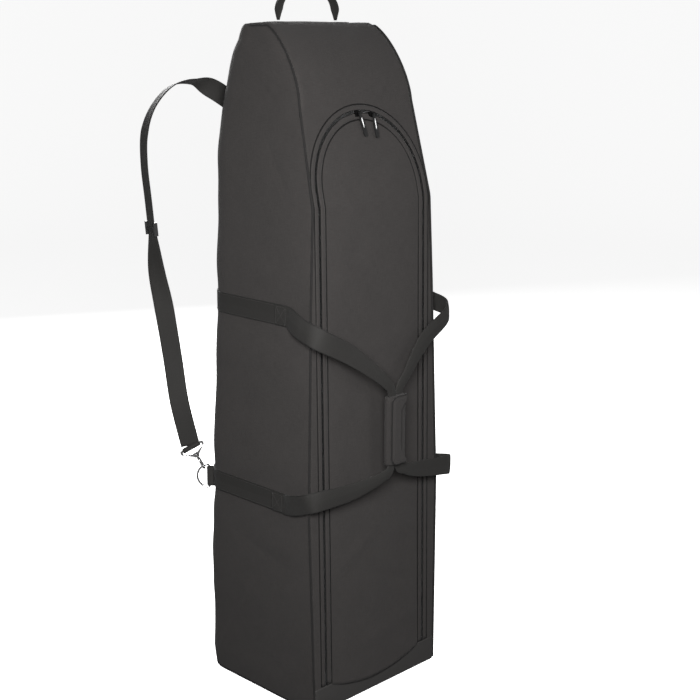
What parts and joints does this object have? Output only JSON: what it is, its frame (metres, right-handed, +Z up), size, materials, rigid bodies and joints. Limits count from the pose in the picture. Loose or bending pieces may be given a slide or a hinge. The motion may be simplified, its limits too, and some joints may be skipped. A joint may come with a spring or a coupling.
{
  "type": "golf travel case",
  "caption": "Tall padded soft case for carrying a golf bag: arched zip door, webbing bands and carry handles with a grip wrap, top handle and clip-on shoulder strap.",
  "frame": {"origin": "middle of the underside of the base, where the case stands", "axes": "+Z up along the case, -Y out of the zipped front, +X to the right of someone looking out of the front"},
  "size_m": [0.4489, 0.4657, 1.3572],
  "materials": {
    "body_fabric": "plain dense woven polyester, padded behind",
    "coated_fabric": "coated woven fabric",
    "piping": "woven cover over a cord",
    "zip_tape": "tight woven tape",
    "zip_coil": "nylon coil",
    "foam": "foam pad, fabric covered",
    "board": "stiff base board",
    "webbing": "herringbone woven webbing",
    "wrap_fabric": "padded woven fabric",
    "slider_paint": "black paint",
    "pull_rubber": "moulded soft pull",
    "black_plastic": "moulded black plastic",
    "bright_metal": "bright plated"
  },
  "bodies": {
    "case": {"left_side_panel": "body_fabric", "right_side_panel": "body_fabric", "back_panel": "body_fabric", "top_cap": "body_fabric", "hood_panel": "body_fabric", "left_border": "body_fabric", "right_border": "body_fabric", "door_lower": "body_fabric", "base_boot": "coated_fabric", "base_panel": "coated_fabric", "left_piping": "piping", "right_piping": "piping", "zip_frame_tape": "zip_tape", "zip_frame_coil": "zip_coil", "zip_lower_coil": "zip_coil", "zip_bottom_stops": "zip_coil", "hood_foam": "foam", "base_board": "board", "upper_band": "webbing", "lower_band": "webbing", "left_handle_webbing": "webbing", "right_handle_webbing": "webbing", "lower_ring_tab": "webbing", "upper_ring_tab": "webbing", "strap_webbing": "webbing", "strap_loop_webbing": "webbing", "grip_wrap": "wrap_fabric", "top_handle_patches": "wrap_fabric", "lower_strap_buckle": "bright_metal", "upper_strap_buckle": "bright_metal"},
    "door_top": {"door_upper": "body_fabric", "zip_upper_coil": "zip_coil"},
    "left_slider": {"left_zip_slider": "slider_paint"},
    "right_slider": {"right_zip_slider": "slider_paint"},
    "left_pull": {"left_zip_pull": "pull_rubber"},
    "right_pull": {"right_zip_pull": "pull_rubber"},
    "wrap_flap": {"grip_flap": "wrap_fabric"},
    "carry_handle": {"top_handle_webbing": "webbing", "top_handle_grip": "wrap_fabric"},
    "lower_ring": {"lower_d_ring": "bright_metal"},
    "upper_ring": {"upper_d_ring": "bright_metal"},
    "lower_swivel": {"lower_hook": "bright_metal"},
    "upper_swivel": {"upper_hook": "bright_metal"},
    "lower_gate": {"lower_hook_gate": "bright_metal"},
    "upper_gate": {"upper_hook_gate": "bright_metal"},
    "glide": {"tri_glide": "black_plastic"}
  },
  "joints": [
    {"name": "door_fold", "type": "hinge", "parent": "case", "child": "door_top", "pos_m": [0, -0.14974, 0.83], "axis": [1, 0, 0], "range_deg": [0, 130]},
    {"name": "left_slider_travel", "type": "hinge", "parent": "door_top", "child": "left_slider", "pos_m": [0, -0.14027, 0.994], "axis": [0, -0.9726, 0.2324], "range_deg": [0, 78]},
    {"name": "right_slider_travel", "type": "hinge", "parent": "door_top", "child": "right_slider", "pos_m": [0, -0.14027, 0.994], "axis": [0, -0.9726, 0.2324], "range_deg": [-78, 0]},
    {"name": "left_pull_swing", "type": "hinge", "parent": "left_slider", "child": "left_pull", "pos_m": [-0.00485, -0.11499, 1.13079], "axis": [-0.9994, -0.0081, -0.0339], "range_deg": [0, 150]},
    {"name": "right_pull_swing", "type": "hinge", "parent": "right_slider", "child": "right_pull", "pos_m": [0.03127, -0.1158, 1.1274], "axis": [-0.9744, 0.0523, 0.2188], "range_deg": [0, 150]},
    {"name": "wrap_flap_open", "type": "hinge", "parent": "case", "child": "wrap_flap", "pos_m": [0.041, -0.2024, 0.54], "axis": [0, 0, 1], "range_deg": [0, 150]},
    {"name": "carry_handle_swing", "type": "hinge", "parent": "case", "child": "carry_handle", "pos_m": [0, 0.028, 1.2965], "axis": [1, 0, 0], "range_deg": [-60, 60]},
    {"name": "lower_ring_swing", "type": "hinge", "parent": "case", "child": "lower_ring", "pos_m": [-0.16724, 0.14196, 0.408], "axis": [0, 0, 1], "range_deg": [-5, 5]},
    {"name": "upper_ring_swing", "type": "hinge", "parent": "case", "child": "upper_ring", "pos_m": [0.035, 0.15258, 1.085], "axis": [0, 0, 1], "range_deg": [-4, 4]},
    {"name": "lower_hook_swivel", "type": "hinge", "parent": "case", "child": "lower_swivel", "pos_m": [-0.18279, 0.15751, 0.44611], "axis": [-0.3535, 0.3535, 0.866], "range_deg": [-12, 12]},
    {"name": "upper_hook_swivel", "type": "hinge", "parent": "case", "child": "upper_swivel", "pos_m": [-0.00427, 0.1595, 1.1036], "axis": [-0.8925, 0.1574, 0.4226], "range_deg": [-12, 12]},
    {"name": "lower_gate_open", "type": "hinge", "parent": "lower_swivel", "child": "lower_gate", "pos_m": [-0.1847, 0.15037, 0.4397], "axis": [0.6124, -0.6124, 0.5], "range_deg": [0, 20], "stiffness_Nm_per_rad": 0.02},
    {"name": "upper_gate_open", "type": "hinge", "parent": "upper_swivel", "child": "upper_gate", "pos_m": [0.00122, 0.15204, 1.10047], "axis": [0.4162, -0.0734, 0.9063], "range_deg": [0, 20], "stiffness_Nm_per_rad": 0.02},
    {"name": "glide_travel", "type": "slide", "parent": "case", "child": "glide", "axis": [-0.057, 0.057, 0.9968], "range_m": [0, 0.04]}
  ]
}
